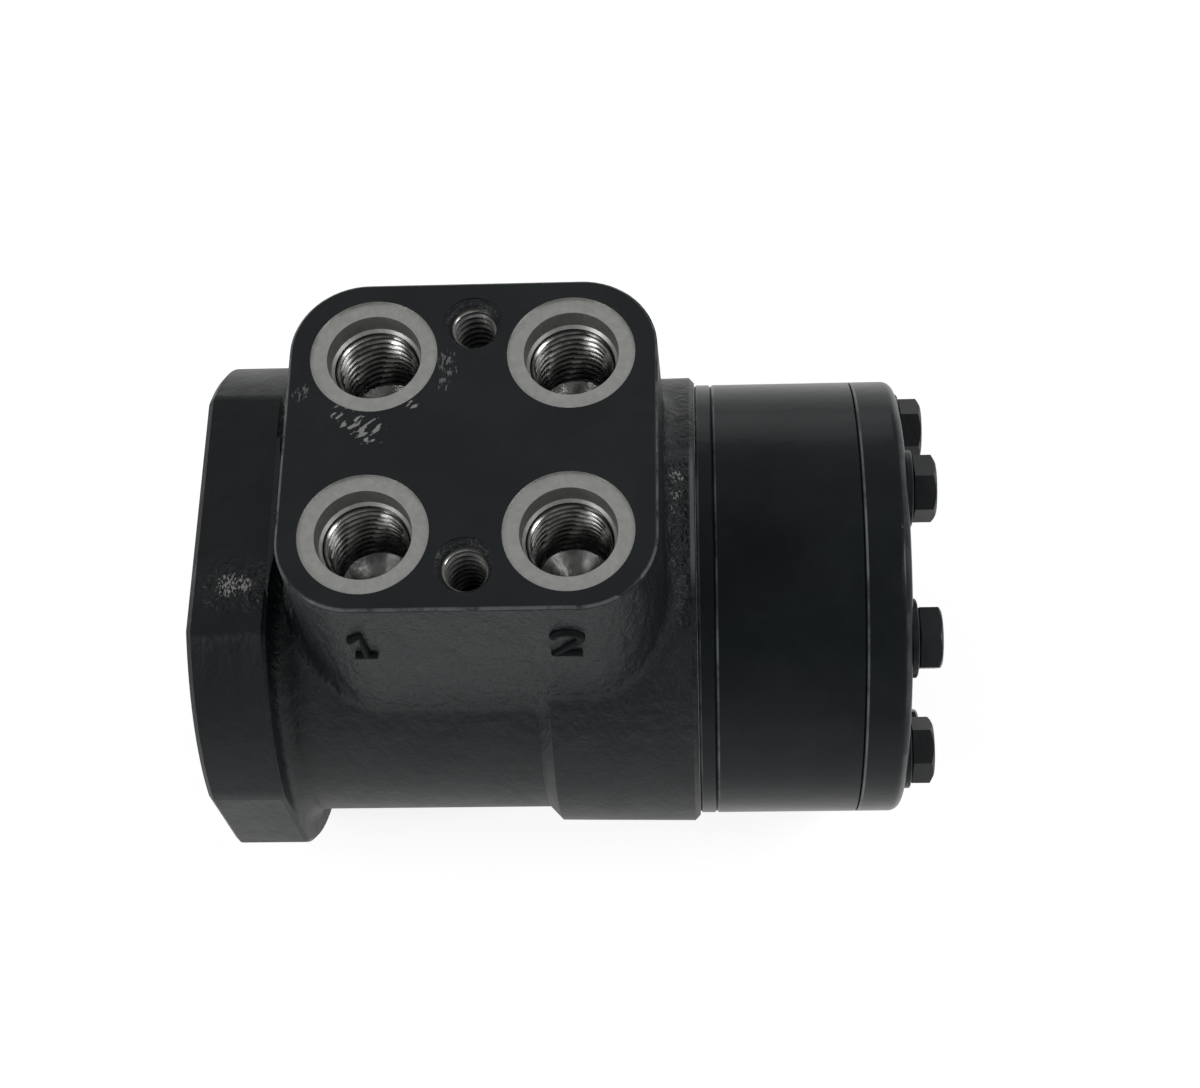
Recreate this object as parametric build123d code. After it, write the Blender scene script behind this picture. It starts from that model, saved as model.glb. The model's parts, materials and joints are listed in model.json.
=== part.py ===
"""Orbital steering unit: rotary valve housing with a 6/7 gerotor metering set.

Millimetres. X runs along the shaft from the column flange's face (X = 0) to
the end cover, the port face looks up (+Z), and the shaft axis is Y = Z = 0.
"""

import os
from math import atan2, cos, degrees, pi, radians, sin

from build123d import *

# ---- driving dimensions ---------------------------------------------------
# stations along the shaft axis
FLANGE_T = 17.0            # column flange thickness
STEP_X = 75.0              # neck widens into the gear end here
BODY_X = 108.3             # end face of the cast housing
PLATE_T = 3.8              # distributor plate
RING_T = 32.0              # gear ring width
COVER_T = 9.9              # end cover thickness
PLATE_X = BODY_X + PLATE_T
RING_X = PLATE_X + RING_T
COVER_X = RING_X + COVER_T

# housing outline
FLANGE_R = 56.0
FLANGE_W, FLANGE_H = 108.0, 97.0
NECK_R = 48.3
GEAR_END_R = 51.8
BLOCK_TOP = 78.5           # port face above the shaft axis
BLOCK_X0, BLOCK_X1 = 24.3, 101.0
BLOCK_W = 75.5
BLOCK_CORNER = 16.0
BLOCK_DRAFT = 1.5          # casting draft of the port block, degrees
JUNCTION_R = 5.0           # cast fillet round the foot of the block
FOOT_R = 3.5               # cast fillet behind the flange

# ports: M18 with O-ring boss, two M10 fixing holes
PORT_X, PORT_DX, PORT_DY = 62.6, 20.55, 20.6
PORT_R, PORT_DEPTH = 9.0, 26.0
SPOT_R, SPOT_DEPTH = 13.3, 0.6
MOUTH_R, SEAT_R, SEAT_DEPTH = 9.9, 9.6, 4.3  # O-ring seat
LEAD = 0.6                 # chamfer that leads into the port thread
FIX_DY, FIX_R, FIX_DEPTH, FIX_MOUTH_R = 28.0, 5.0, 20.0, 6.3

# column face: four M10 on a circle
COLUMN_PCD, COLUMN_R, COLUMN_DEPTH = 82.5, 5.0, 20.0
PILOT_R, PILOT_DEPTH = 22.5, 2.5

# rotary valve
BORE_R = 19.05             # housing bore
SLEEVE_R = 19.0
SPOOL_R = 14.28
FIT = 0.04                 # radial running clearance
NECK_BORE_R = 14.6
SEAL_POCKET_R = 18.0
BORE_X0 = 14.5             # the main bore starts behind the seals
SLEEVE_X0, SLEEVE_X1 = 22.1, 106.4
SPOOL_X0, SPOOL_X1 = 3.0, 104.0
SLOT_X, SLOT_L, SLOT_W = 31.0, 9.0, 6.4     # centring spring slot
PIN_X, PIN_R, PIN_L = 43.5, 4.0, 37.4       # cross pin
SPOOL_PLAY = 8.0           # spool to sleeve travel each way, degrees
DRIVE_BORE_R = 11.2
GALLERY_X = (41.9, 56.0, 70.0, 83.3)        # ring grooves in the bore
METER_X = 94.5             # row where the seven metering drillings meet the sleeve
SPRING_T, SPRING_L, SPRING_W = 0.8, 34.0, 8.4
NEEDLES, NEEDLE_R = 12, 1.0                 # thrust bearing rollers

# check valve under the pressure port
PASSAGE_DY = -3.6          # passages leave the port floors off centre, towards -Y
BALL_SEAT_Z, SEAT_BORE_R = 36.0, 2.3
CHECK_R, BALL_R = 4.8, 3.4
BALL_Z = BALL_SEAT_Z + (BALL_R ** 2 - SEAT_BORE_R ** 2) ** 0.5 + 0.05

# gerotor: 6-lobe rotor in a 7-lobe ring
LOBES = 7
ECC = 3.5                  # orbit radius
PITCH_R = 33.0             # circle of the ring's lobe centres
LOBE_R = 7.0
GEAR_GAP = 0.07            # gap between rotor and ring lobes
CAVITY_R = 33.4
RING_R = 50.0
BOLT_PHASE = 180.0         # one bolt looks along -Y
BOLT_PCD_R = 38.5
BOLT_R, BOLT_HOLE_R = 4.0, 4.3
BOLT_AF, BOLT_HEAD, BOLT_L = 13.0, 5.3, 60.0
WASHER_R, WASHER_T = 8.6, 1.5
FEED_R, FEED_CIRCLE = 3.1, 29.0             # seven metering holes

# splines, 12 teeth each
TEETH = 12
INPUT_ROOT_R, INPUT_TIP_R = 10.3, 8.6       # female, in the spool
ROTOR_ROOT_R, ROTOR_TIP_R = 11.6, 9.9       # female, in the rotor
CROWN_TIP_R, CROWN_ROOT_R = 11.15, 9.4      # male, on the drive shaft
CROWN_X, CROWN_L = 123.5, 12.0
DRIVE_R = 6.6
TILT = degrees(atan2(ECC, CROWN_X - PIN_X))  # the drive shaft leans to the rotor's centre
DRIVE_FRAME = Pos(PIN_X, 0, 0) * Rot(Z=-TILT)


# ---- helpers --------------------------------------------------------------
def disc(x0, x1, r):
    """A cylinder on the shaft axis."""
    return extrude(Plane.YZ.offset(x0) * Circle(r), x1 - x0)


def tube(x0, x1, r_out, r_in):
    """A plain ring on the shaft axis."""
    return extrude(Plane.YZ.offset(x0) * (Circle(r_out) - Circle(r_in)), x1 - x0)


def turned(*profile):
    """A turned piece: (x, radius) corners spun about the shaft axis."""
    return revolve(make_face(Polyline(*profile, close=True)), Axis.X)


def drilled(start, to, r):
    """A round drilling between two points."""
    run = Vector(*to) - Vector(*start)
    return extrude(Plane(origin=start, z_dir=run) * Circle(r), run.length)


def around(shape, count, phase=0.0):
    """Copies of a shape about the shaft axis, measured from +Y towards +Z."""
    return [Rot(X=phase + 360.0 * i / count) * shape for i in range(count)]


def bolt_spots(x):
    """Locations of the cover bolts in the plane at x, normal along +X."""
    step = 360.0 / LOBES
    return [Rot(X=BOLT_PHASE + step * i) * Pos(x, BOLT_PCD_R, 0) * Rot(Y=90)
            for i in range(LOBES)]


def spline_face(root_r, tip_r, land, teeth=TEETH):
    """Disc of radius tip_r with a straight-sided space out to root_r per tooth."""
    half = pi * land / teeth
    space = make_face(Polyline(
        (tip_r * cos(half * 1.15) - 0.6, -tip_r * sin(half * 1.15)),
        (root_r * cos(half * 0.72), -root_r * sin(half * 0.72)),
        (root_r * cos(half * 0.72), root_r * sin(half * 0.72)),
        (tip_r * cos(half * 1.15) - 0.6, tip_r * sin(half * 1.15)), close=True))
    return Circle(tip_r) + [Rot(Z=360.0 * i / teeth) * space for i in range(teeth)]


# ---- housing --------------------------------------------------------------
def casting():
    """Outer form: column flange, neck, gear end and port block, with cast fillets."""
    outline = Circle(FLANGE_R) & Rectangle(FLANGE_W, FLANGE_H)
    flange = extrude(Plane.YZ * outline, FLANGE_T)
    flange = chamfer(flange.faces().sort_by(Axis.X)[0].edges(), 1.2)
    flange = chamfer(flange.faces().sort_by(Axis.X)[-1].edges(), 0.8)
    barrel = turned((FLANGE_T - 1, 0), (FLANGE_T - 1, NECK_R), (STEP_X - 1.5, NECK_R),
                    (STEP_X + 1.5, GEAR_END_R - 0.4), (BODY_X - 1.2, GEAR_END_R),
                    (BODY_X, GEAR_END_R - 1.3), (BODY_X, 0))
    top = Pos((BLOCK_X0 + BLOCK_X1) / 2, 0.4, BLOCK_TOP) * RectangleRounded(
        BLOCK_X1 - BLOCK_X0, BLOCK_W, BLOCK_CORNER)
    block = extrude(top, -(BLOCK_TOP - 8), taper=-BLOCK_DRAFT)
    block = chamfer(block.faces().sort_by(Axis.Z)[-1].edges(), 0.6)
    body = barrel + block
    body = fillet(new_edges(barrel, block, combined=body), JUNCTION_R)
    return flange + body + (flange_foot() & extrude(Plane.YZ * outline, 2 * FLANGE_T))


def flange_foot():
    """Cast fillet between the flange's back face and the neck."""
    x, r, f = FLANGE_T, NECK_R, FOOT_R
    sweep = ThreePointArc((x, r + f), (x + f * (1 - cos(pi / 4)), r + f * (1 - sin(pi / 4))),
                          (x + f, r))
    return revolve(make_face([Polyline((x + f, r), (x + f, r - 8), (x - 1, r - 8),
                                       (x - 1, r + f), (x, r + f)), sweep]), Axis.X)


def port_cut(x, y):
    """One threaded port: spotface, O-ring seat, tapped bore with drill point."""
    top = BLOCK_TOP
    floor = top - PORT_DEPTH
    profile = Polyline((0, top + 1), (SPOT_R, top + 1), (SPOT_R, top - SPOT_DEPTH),
                       (MOUTH_R, top - SPOT_DEPTH), (SEAT_R, top - SPOT_DEPTH - SEAT_DEPTH),
                       (PORT_R, top - SPOT_DEPTH - SEAT_DEPTH - LEAD), (PORT_R, floor),
                       (0, floor - 4.0), close=True)
    return Pos(x, y, 0) * revolve(make_face(Plane.XZ * profile), Axis.Z)


def fixing_cut(y):
    """One tapped fixing hole with a wide countersink."""
    top = BLOCK_TOP
    profile = Polyline((0, top + 1), (FIX_MOUTH_R, top + 1), (FIX_MOUTH_R, top - 0.4),
                       (FIX_R, top - 0.4 - (FIX_MOUTH_R - FIX_R)), (FIX_R, top - FIX_DEPTH),
                       (0, top - FIX_DEPTH), close=True)
    return Pos(PORT_X, y, 0) * revolve(make_face(Plane.XZ * profile), Axis.Z)


def valve_bore():
    """Stepped bore for seals, bearing and sleeve, with its ring grooves."""
    bore = turned((-1, 0), (-1, PILOT_R), (PILOT_DEPTH, PILOT_R), (PILOT_DEPTH, SEAL_POCKET_R),
                  (7.5, SEAL_POCKET_R), (7.5, NECK_BORE_R), (9, NECK_BORE_R),
                  (9, SEAL_POCKET_R), (13, SEAL_POCKET_R), (13, NECK_BORE_R),
                  (BORE_X0, NECK_BORE_R), (BORE_X0, BORE_R), (BODY_X - 0.8, BORE_R),
                  (BODY_X, BORE_R + 0.8), (BODY_X + 1, BORE_R + 0.8), (BODY_X + 1, 0))
    grooves = [tube(x - 2.6, x + 2.6, BORE_R + 3.4, BORE_R - 1) for x in GALLERY_X]
    return [bore] + grooves


def galleries():
    """Drillings from the ports to the ring grooves, and the metering holes."""
    floor = BLOCK_TOP - PORT_DEPTH
    cuts = []
    for x, y, groove in ((PORT_X - PORT_DX, -PORT_DY, 0), (PORT_X - PORT_DX, PORT_DY, 1),
                         (PORT_X + PORT_DX, PORT_DY, 2)):
        start = (x, y + PASSAGE_DY, floor + 1)
        cuts.append(drilled(start, (GALLERY_X[groove], 0.42 * y, 19.0), 3.6))
    px, py = PORT_X + PORT_DX, PASSAGE_DY - PORT_DY
    cuts.append(drilled((px, py, floor + 1), (px, py, BALL_SEAT_Z), CHECK_R))
    cuts.append(drilled((px, py, BALL_SEAT_Z + 1), (px, py, BALL_SEAT_Z - 7), SEAT_BORE_R))
    cuts.append(drilled((px, py, BALL_SEAT_Z + 6), (px, 0.35 * py, 19.0), 2.6))
    half = 180.0 / LOBES
    feed = drilled((BODY_X + 1.5, FEED_CIRCLE, 0), (METER_X - 1.0, BORE_R, 0), 2.6)
    return cuts + around(feed, LOBES, BOLT_PHASE + half)


def housing():
    """Cast housing with every machined feature."""
    cuts = valve_bore() + galleries()
    cuts += [port_cut(PORT_X + sx * PORT_DX, sy * PORT_DY) for sx in (-1, 1) for sy in (-1, 1)]
    cuts += [fixing_cut(sy * FIX_DY) for sy in (-1, 1)]
    column = turned((-1, 0), (-1, COLUMN_R + 0.8), (0, COLUMN_R + 0.8), (0.8, COLUMN_R),
                    (COLUMN_DEPTH, COLUMN_R), (COLUMN_DEPTH, 0))
    cuts += around(Pos(0, COLUMN_PCD / 2, 0) * column, 4, 45.0)
    tapped = drilled((BODY_X + 1, BOLT_PCD_R, 0), (BODY_X - 18, BOLT_PCD_R, 0), BOLT_R)
    cuts += around(tapped, LOBES, BOLT_PHASE)
    cuts.append(tube(BODY_X - 1.7, BODY_X + 1, 47.0, 44.4))
    return casting() - cuts


# ---- seals, bearing, check valve ------------------------------------------
def dust_seal():
    """Wiper ring pressed into the mouth of the housing."""
    return turned((2.9, 17.98), (7.3, 17.98), (7.3, 15.2), (3.4, 14.4), (2.9, 14.4),
                  (3.8, 16.4))


def shaft_seal():
    """Sliding ring that runs on the spool's neck."""
    return turned((9.2, 14.36), (12.8, 14.36), (12.8, 16.2), (9.2, 16.2))


def shaft_oring():
    """O-ring that loads the sliding ring."""
    return turned((9.3, 16.25), (12.7, 16.25), (12.7, 17.95), (9.3, 17.95))


def bearing_outer_race():
    """Race that rests against the housing's shoulder."""
    return turned((14.6, 14.7), (17.1, 14.7), (17.1, 18.95), (14.6, 18.95))


def bearing_inner_race():
    """Race that turns with the sleeve."""
    return turned((19.2, 14.4), (22.0, 14.4), (22.0, 18.9), (19.2, 18.9))


def needles():
    """Rollers of the thrust bearing, laid radially."""
    roller = Pos(18.15, 16.7, 0) * Rot(X=90) * Cylinder(NEEDLE_R, 3.0)
    return around(roller, NEEDLES)


def needle_cage():
    """Flat cage with one window per roller."""
    cage = tube(17.5, 18.8, 18.8, 14.6)
    window = Pos(18.15, 16.7, 0) * Box(3, 3.2, 2 * NEEDLE_R + 0.1)
    return cage - around(window, NEEDLES)


def check_ball():
    """Ball that shuts the drilling between the pressure and return sides."""
    return Pos(PORT_X + PORT_DX, PASSAGE_DY - PORT_DY, BALL_Z) * Sphere(BALL_R)


def ball_stop():
    """Threaded bushing that keeps the check ball in."""
    body = Cylinder(CHECK_R - 0.02, 7.0) - Cylinder(2.0, 8.0)
    socket = extrude(Pos(0, 0, 1.0) * RegularPolygon(2.9, 6), 4.0)
    return Pos(PORT_X + PORT_DX, PASSAGE_DY - PORT_DY, 48.3) * (body - socket)


# ---- rotary valve ---------------------------------------------------------
def sleeve():
    """Outer valve sleeve: ring grooves, port windows, spring and pin windows."""
    body = turned((SLEEVE_X0, SPOOL_R + FIT), (SLEEVE_X0, 17.2), (SLOT_X + 6.5, 17.2),
                  (SLOT_X + 6.5, SLEEVE_R), (SLEEVE_X1 - 0.6, SLEEVE_R),
                  (SLEEVE_X1, SLEEVE_R - 0.6), (SLEEVE_X1, SPOOL_R + FIT))
    cuts = [tube(x - 2.0, x + 2.0, SLEEVE_R + 1, SLEEVE_R - 1.1) for x in GALLERY_X[1:4]]
    cuts.append(Pos(SLOT_X, 0, 0) * Box(SLOT_L, 50, SLOT_W))
    cuts.append(Pos(PIN_X, 0, 0) * Cylinder(PIN_R + FIT, 50))
    window = Pos(0, 16.5, 0) * Box(3.4, 6.0, 3.0)
    for x, count, phase in ((GALLERY_X[1], 6, 0), (GALLERY_X[2], 6, 30), (GALLERY_X[3], 6, 0),
                            (METER_X, 12, 15)):
        cuts += around(Pos(x, 0, 0) * window, count, phase)
    return body - cuts


def spool():
    """Inner valve spool with the female input spline and the axial slots."""
    body = turned((SPOOL_X0, 0), (SPOOL_X0, SPOOL_R - 1), (SPOOL_X0 + 1, SPOOL_R),
                  (SPOOL_X1 - 0.5, SPOOL_R), (SPOOL_X1, SPOOL_R - 0.5), (SPOOL_X1, 0))
    female = extrude(Plane.YZ.offset(SPOOL_X0 - 1) * spline_face(INPUT_ROOT_R, INPUT_TIP_R, 0.5),
                     20.0)
    cuts = [female, turned((SPOOL_X0 - 1, 0), (SPOOL_X0 - 1, INPUT_ROOT_R + 1),
                           (SPOOL_X0 + 1.6, INPUT_TIP_R), (SPOOL_X0 + 1.6, 0))]
    cuts.append(Pos(SLOT_X, 0, 0) * Box(SLOT_L, 50, SLOT_W))
    cuts.append(disc(SLOT_X + 6.5, SPOOL_X1 + 1, DRIVE_BORE_R))
    swing = SPOOL_R * sin(radians(SPOOL_PLAY)) + 0.25
    slot = extrude(Plane.XY.offset(-25) * Pos(PIN_X, 0) * Rot(Z=90)
                   * SlotCenterToCenter(2 * swing, 2 * PIN_R + 0.4), 50)
    cuts.append(slot)
    long_slot = Pos(0, SPOOL_R, 0) * Box(22.0, 3.0, 3.4)
    cuts += around(Pos(GALLERY_X[3] + 5.0, 0, 0) * long_slot, 6, 15)
    cuts += around(Pos(GALLERY_X[1] + 8.0, 0, 0) * long_slot, 6, 15 + 30)
    cuts.append(tube(GALLERY_X[3] - 2.2, GALLERY_X[3] + 2.2, SPOOL_R + 1, SPOOL_R - 1.3))
    return body - cuts


def cross_pin():
    """Pin across sleeve, spool and drive shaft."""
    pin = Cylinder(PIN_R, PIN_L)
    return Pos(PIN_X, 0, 0) * chamfer(pin.edges().filter_by(GeomType.CIRCLE), 0.5)


def spring_ring():
    """Retaining ring over the ends of the centring springs."""
    return turned((SLOT_X - 5.6, 17.24), (SLOT_X + 6.3, 17.24), (SLOT_X + 6.3, SLEEVE_R),
                  (SLOT_X - 5.6, SLEEVE_R))


def flat_springs():
    """Two flat leaves in the middle of the pack."""
    leaf = Box(SPRING_W, SPRING_L, SPRING_T)
    return [Pos(SLOT_X, 0, s * (SPRING_T / 2 + 0.01)) * leaf for s in (-1, 1)]


def curved_springs():
    """Two bowed leaves on each side of the flat ones."""
    out = []
    for side in (-1, 1):
        for level in (0, 1):
            z = side * (SPRING_T + 0.04 + level * (SPRING_T + 0.02))
            bow = 0.72 * side
            mid = ThreePointArc((-SPRING_L / 2 + 0.4, z + bow), (0, z), (SPRING_L / 2 - 0.4, z + bow))
            far = ThreePointArc((SPRING_L / 2 - 0.4, z + bow + side * SPRING_T),
                                (0, z + side * SPRING_T),
                                (-SPRING_L / 2 + 0.4, z + bow + side * SPRING_T))
            edge = [Line(mid @ 1, far @ 0), Line(far @ 1, mid @ 0)]
            leaf = make_face([mid, edge[0], far, edge[1]])
            out.append(extrude(Plane.YZ.offset(SLOT_X - SPRING_W / 2) * leaf, SPRING_W))
    return out


# ---- metering set ---------------------------------------------------------
def rotor_point(t):
    """Rotor profile at parameter t: the inward offset, by the lobe radius, of the
    path that a ring lobe's centre takes in the rotor's frame."""
    cx = PITCH_R * cos(t) - ECC * cos(LOBES * t)
    cy = PITCH_R * sin(t) - ECC * sin(LOBES * t)
    dx = -PITCH_R * sin(t) + LOBES * ECC * sin(LOBES * t)
    dy = PITCH_R * cos(t) - LOBES * ECC * cos(LOBES * t)
    inset = (LOBE_R + GEAR_GAP) / (dx * dx + dy * dy) ** 0.5
    return cx - inset * dy, cy + inset * dx


def rotor_outline(arcs=11, fine=900):
    """Closed rotor profile: one lobe as equal-length arcs, repeated about the centre."""
    count = LOBES - 1
    path = [rotor_point(2 * pi / count * i / fine) for i in range(fine + 1)]
    walked = [0.0]
    for p, q in zip(path, path[1:]):
        walked.append(walked[-1] + ((q[0] - p[0]) ** 2 + (q[1] - p[1]) ** 2) ** 0.5)
    stops = []
    for i in range(2 * arcs + 1):
        goal = walked[-1] * i / (2 * arcs)
        stops.append(path[min(range(fine + 1), key=lambda j: abs(walked[j] - goal))])
    lobe = [ThreePointArc(*stops[2 * i:2 * i + 3]) for i in range(arcs)]
    return make_face(Curve() + [Rot(Z=360.0 * k / count) * arc
                                for k in range(count) for arc in lobe])


def rotor():
    """Six-lobe star gear, set off the shaft axis by the orbit radius."""
    star = rotor_outline() - spline_face(ROTOR_ROOT_R, ROTOR_TIP_R, 0.5)
    star = extrude(Plane.YZ.offset(PLATE_X + 0.02) * star, RING_T - 0.04)
    return Pos(0, -ECC, 0) * star


def ring_openings():
    """Bolt holes of the plate, ring and cover, as a list of circles."""
    return [Rot(Z=BOLT_PHASE + 360.0 * i / LOBES) * Pos(BOLT_PCD_R, 0) * Circle(BOLT_HOLE_R)
            for i in range(LOBES)]


def stator_ring():
    """Fixed gear ring with seven round lobes and an O-ring groove each side."""
    lobes = [Rot(Z=BOLT_PHASE + 360.0 * i / LOBES) * Pos(PITCH_R, 0) * Circle(LOBE_R)
             for i in range(LOBES)]
    cavity = Circle(CAVITY_R) - lobes
    cavity = fillet(cavity.vertices(), 2.2)
    ring = extrude(Plane.YZ.offset(PLATE_X) * (Circle(RING_R) - cavity - ring_openings()), RING_T)
    ring = chamfer(ring.edges().filter_by(GeomType.CIRCLE).filter_by(
        lambda e: e.radius > RING_R - 0.1), 0.4)
    return ring - [tube(PLATE_X - 1, PLATE_X + 1.7, 47.0, 44.4),
                   tube(RING_X - 1.7, RING_X + 1, 47.0, 44.4)]


def distributor_plate():
    """Plate between housing and gear set with seven metering holes."""
    feeds = [Rot(Z=BOLT_PHASE + 360.0 * (i + 0.5) / LOBES) * Pos(FEED_CIRCLE, 0) * Circle(FEED_R)
             for i in range(LOBES)]
    face = Circle(RING_R) - Circle(13.0) - ring_openings() - feeds
    plate = extrude(Plane.YZ.offset(BODY_X) * face, PLATE_T)
    return chamfer(plate.edges().filter_by(GeomType.CIRCLE).filter_by(
        lambda e: e.radius > RING_R - 0.1), 0.5)


def end_cover():
    """End cover with a rounded outer rim."""
    face = Circle(RING_R) - ring_openings()
    cover = extrude(Plane.YZ.offset(RING_X) * face, COVER_T)
    outer = cover.edges().filter_by(GeomType.CIRCLE).filter_by(lambda e: e.radius > RING_R - 0.1)
    outer = outer.sort_by(Axis.X)
    cover = fillet(outer[-1], 2.6)
    return cover


def seal_ring(x0, x1):
    """Face O-ring squeezed into its groove between two faces."""
    return tube(x0 + 0.02, x1 - 0.02, 46.9, 44.5)


def cover_bolts():
    """Hex bolts that hold cover, ring and plate to the housing."""
    under = COVER_X + WASHER_T
    out = []
    for spot in bolt_spots(under):
        head = extrude(RegularPolygon(BOLT_AF / 2, 6, major_radius=False), BOLT_HEAD)
        shank = extrude(Circle(BOLT_R - 0.02), -BOLT_L)
        out.append(spot * (head + shank))
    return out


def washers():
    """One plain washer under each bolt head."""
    return [spot * extrude(Circle(WASHER_R) - Circle(BOLT_R + 0.15), WASHER_T)
            for spot in bolt_spots(COVER_X)]


# ---- drive shaft ----------------------------------------------------------
def drive_shaft():
    """Cardan shaft: fork over the cross pin, crowned spline in the rotor."""
    reach = (CROWN_X - PIN_X) / cos(radians(TILT))
    stem = turned((-5.2, 0), (-5.2, 7.4), (-3.0, 9.6), (6.0, 9.9), (9.5, 9.6), (14.0, DRIVE_R),
                  (reach - 16.0, DRIVE_R), (reach - 9.0, 8.4), (reach - 7.0, 8.4),
                  (reach - 7.0, 0))
    fork_slot = Pos(-3.0, 0, 0) * Box(7.4, 2 * (PIN_R + 0.12), 30)
    fork_eye = Pos(0.7, 0, 0) * Cylinder(PIN_R + 0.12, 30)
    male = extrude(Plane.YZ.offset(reach - CROWN_L / 2) * tooth_face(), CROWN_L)
    crown = revolve(Pos(reach, 0) * (Rectangle(CROWN_L, 2 * CROWN_TIP_R)
                                     & Pos(0, -40) * Circle(40 + CROWN_TIP_R)
                                     & Pos(0, CROWN_TIP_R / 2) * Rectangle(CROWN_L, CROWN_TIP_R)),
                    Axis.X)
    neck = disc(reach - 8.0, reach + CROWN_L / 2 + 1.0, CROWN_ROOT_R - 0.8)
    return DRIVE_FRAME * ((stem - fork_slot - fork_eye) + (male & crown) + neck)


def tooth_face():
    """Crowned male spline section: twelve teeth on the root circle."""
    half = pi / TEETH
    tooth = make_face(Polyline(
        (CROWN_ROOT_R - 0.5, -CROWN_ROOT_R * sin(half * 0.50)),
        (CROWN_TIP_R + 0.4, -CROWN_TIP_R * sin(half * 0.22)),
        (CROWN_TIP_R + 0.4, CROWN_TIP_R * sin(half * 0.22)),
        (CROWN_ROOT_R - 0.5, CROWN_ROOT_R * sin(half * 0.50)), close=True))
    return Circle(CROWN_ROOT_R) + [Rot(Z=360.0 * i / TEETH) * tooth for i in range(TEETH)]


def drive_spacer():
    """Plug between the drive shaft's end and the cover."""
    spacer = turned((CROWN_X + 8.2, 0), (CROWN_X + 8.2, 8.4), (CROWN_X + 9.2, 9.6),
                    (RING_X - 0.8, 9.6), (RING_X - 0.05, 8.9), (RING_X - 0.05, 0))
    return Pos(0, -ECC, 0) * spacer


# ---- output ---------------------------------------------------------------
NODES = {
    "housing": housing, "dust_seal": dust_seal, "shaft_seal": shaft_seal,
    "shaft_oring": shaft_oring, "bearing_outer_race": bearing_outer_race,
    "bearing_inner_race": bearing_inner_race, "needles": needles,
    "needle_cage": needle_cage, "check_ball": check_ball, "ball_stop": ball_stop,
    "sleeve": sleeve, "spool": spool, "cross_pin": cross_pin, "spring_ring": spring_ring,
    "flat_springs": flat_springs, "curved_springs": curved_springs,
    "body_oring": lambda: seal_ring(BODY_X - 1.7, BODY_X),
    "distributor_plate": distributor_plate,
    "plate_oring": lambda: seal_ring(PLATE_X, PLATE_X + 1.7),
    "stator_ring": stator_ring, "rotor": rotor, "drive_shaft": drive_shaft,
    "drive_spacer": drive_spacer,
    "cover_oring": lambda: seal_ring(RING_X - 1.7, RING_X),
    "end_cover": end_cover, "cover_bolts": cover_bolts, "washers": washers,
}


def main():
    """Builds every node and writes its STEP file."""
    os.makedirs("parts", exist_ok=True)
    for node, build in NODES.items():
        shape = build()
        if isinstance(shape, list):
            shape = Compound(children=[s for item in shape for s in item.solids()])
        export_step(shape, f"parts/{node}.step")


if __name__ == "__main__":
    main()
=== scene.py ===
"""Dressed visual model of an orbital steering unit.

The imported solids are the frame. This script adds rounded and threaded detail,
gives each piece a procedural finish and sets up a plain studio.
"""

import json
import logging
import math
import operator
from dataclasses import dataclass, field
from enum import Enum
from functools import cached_property, reduce
from typing import Optional, Sequence, Union

import bmesh
import bpy
from bpy.types import Material, Mesh, Node, NodeSocket, Object
from mathutils import Matrix, Vector

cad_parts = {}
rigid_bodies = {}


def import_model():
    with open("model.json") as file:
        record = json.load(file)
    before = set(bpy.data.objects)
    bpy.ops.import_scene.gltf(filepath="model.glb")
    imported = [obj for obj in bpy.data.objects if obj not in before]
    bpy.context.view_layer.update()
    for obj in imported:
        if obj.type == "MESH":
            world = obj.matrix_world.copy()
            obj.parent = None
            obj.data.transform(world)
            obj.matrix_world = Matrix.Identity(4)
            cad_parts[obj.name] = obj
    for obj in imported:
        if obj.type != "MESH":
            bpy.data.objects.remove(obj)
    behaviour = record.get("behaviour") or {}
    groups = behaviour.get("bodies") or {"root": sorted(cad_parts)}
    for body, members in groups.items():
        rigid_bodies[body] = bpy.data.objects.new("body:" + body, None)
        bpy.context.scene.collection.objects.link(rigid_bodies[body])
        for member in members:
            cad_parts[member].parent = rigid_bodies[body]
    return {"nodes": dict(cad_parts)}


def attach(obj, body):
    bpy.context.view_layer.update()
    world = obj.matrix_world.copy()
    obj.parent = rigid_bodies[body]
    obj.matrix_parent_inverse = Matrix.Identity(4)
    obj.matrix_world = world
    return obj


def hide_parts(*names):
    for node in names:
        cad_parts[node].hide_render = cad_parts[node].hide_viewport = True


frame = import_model()

LOG = logging.getLogger("steering_unit")
MM = 0.001
MM_PER_M = 1000.0
CASE = "body"
FALL = (1.0, 0.0)
Triple = tuple[float, float, float]
Balls = tuple[tuple[Triple, float], ...]
Value = Union["Term", NodeSocket, float]


class Slot(Enum):
    """Material slots of the record."""

    CAST = "paint_cast"
    TURNED = "paint_turned"
    STEEL = "steel"
    DARK = "steel_dark"
    GEAR = "gear_steel"
    SPRING = "spring_steel"
    RUBBER = "rubber"
    PTFE = "ptfe"


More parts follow.
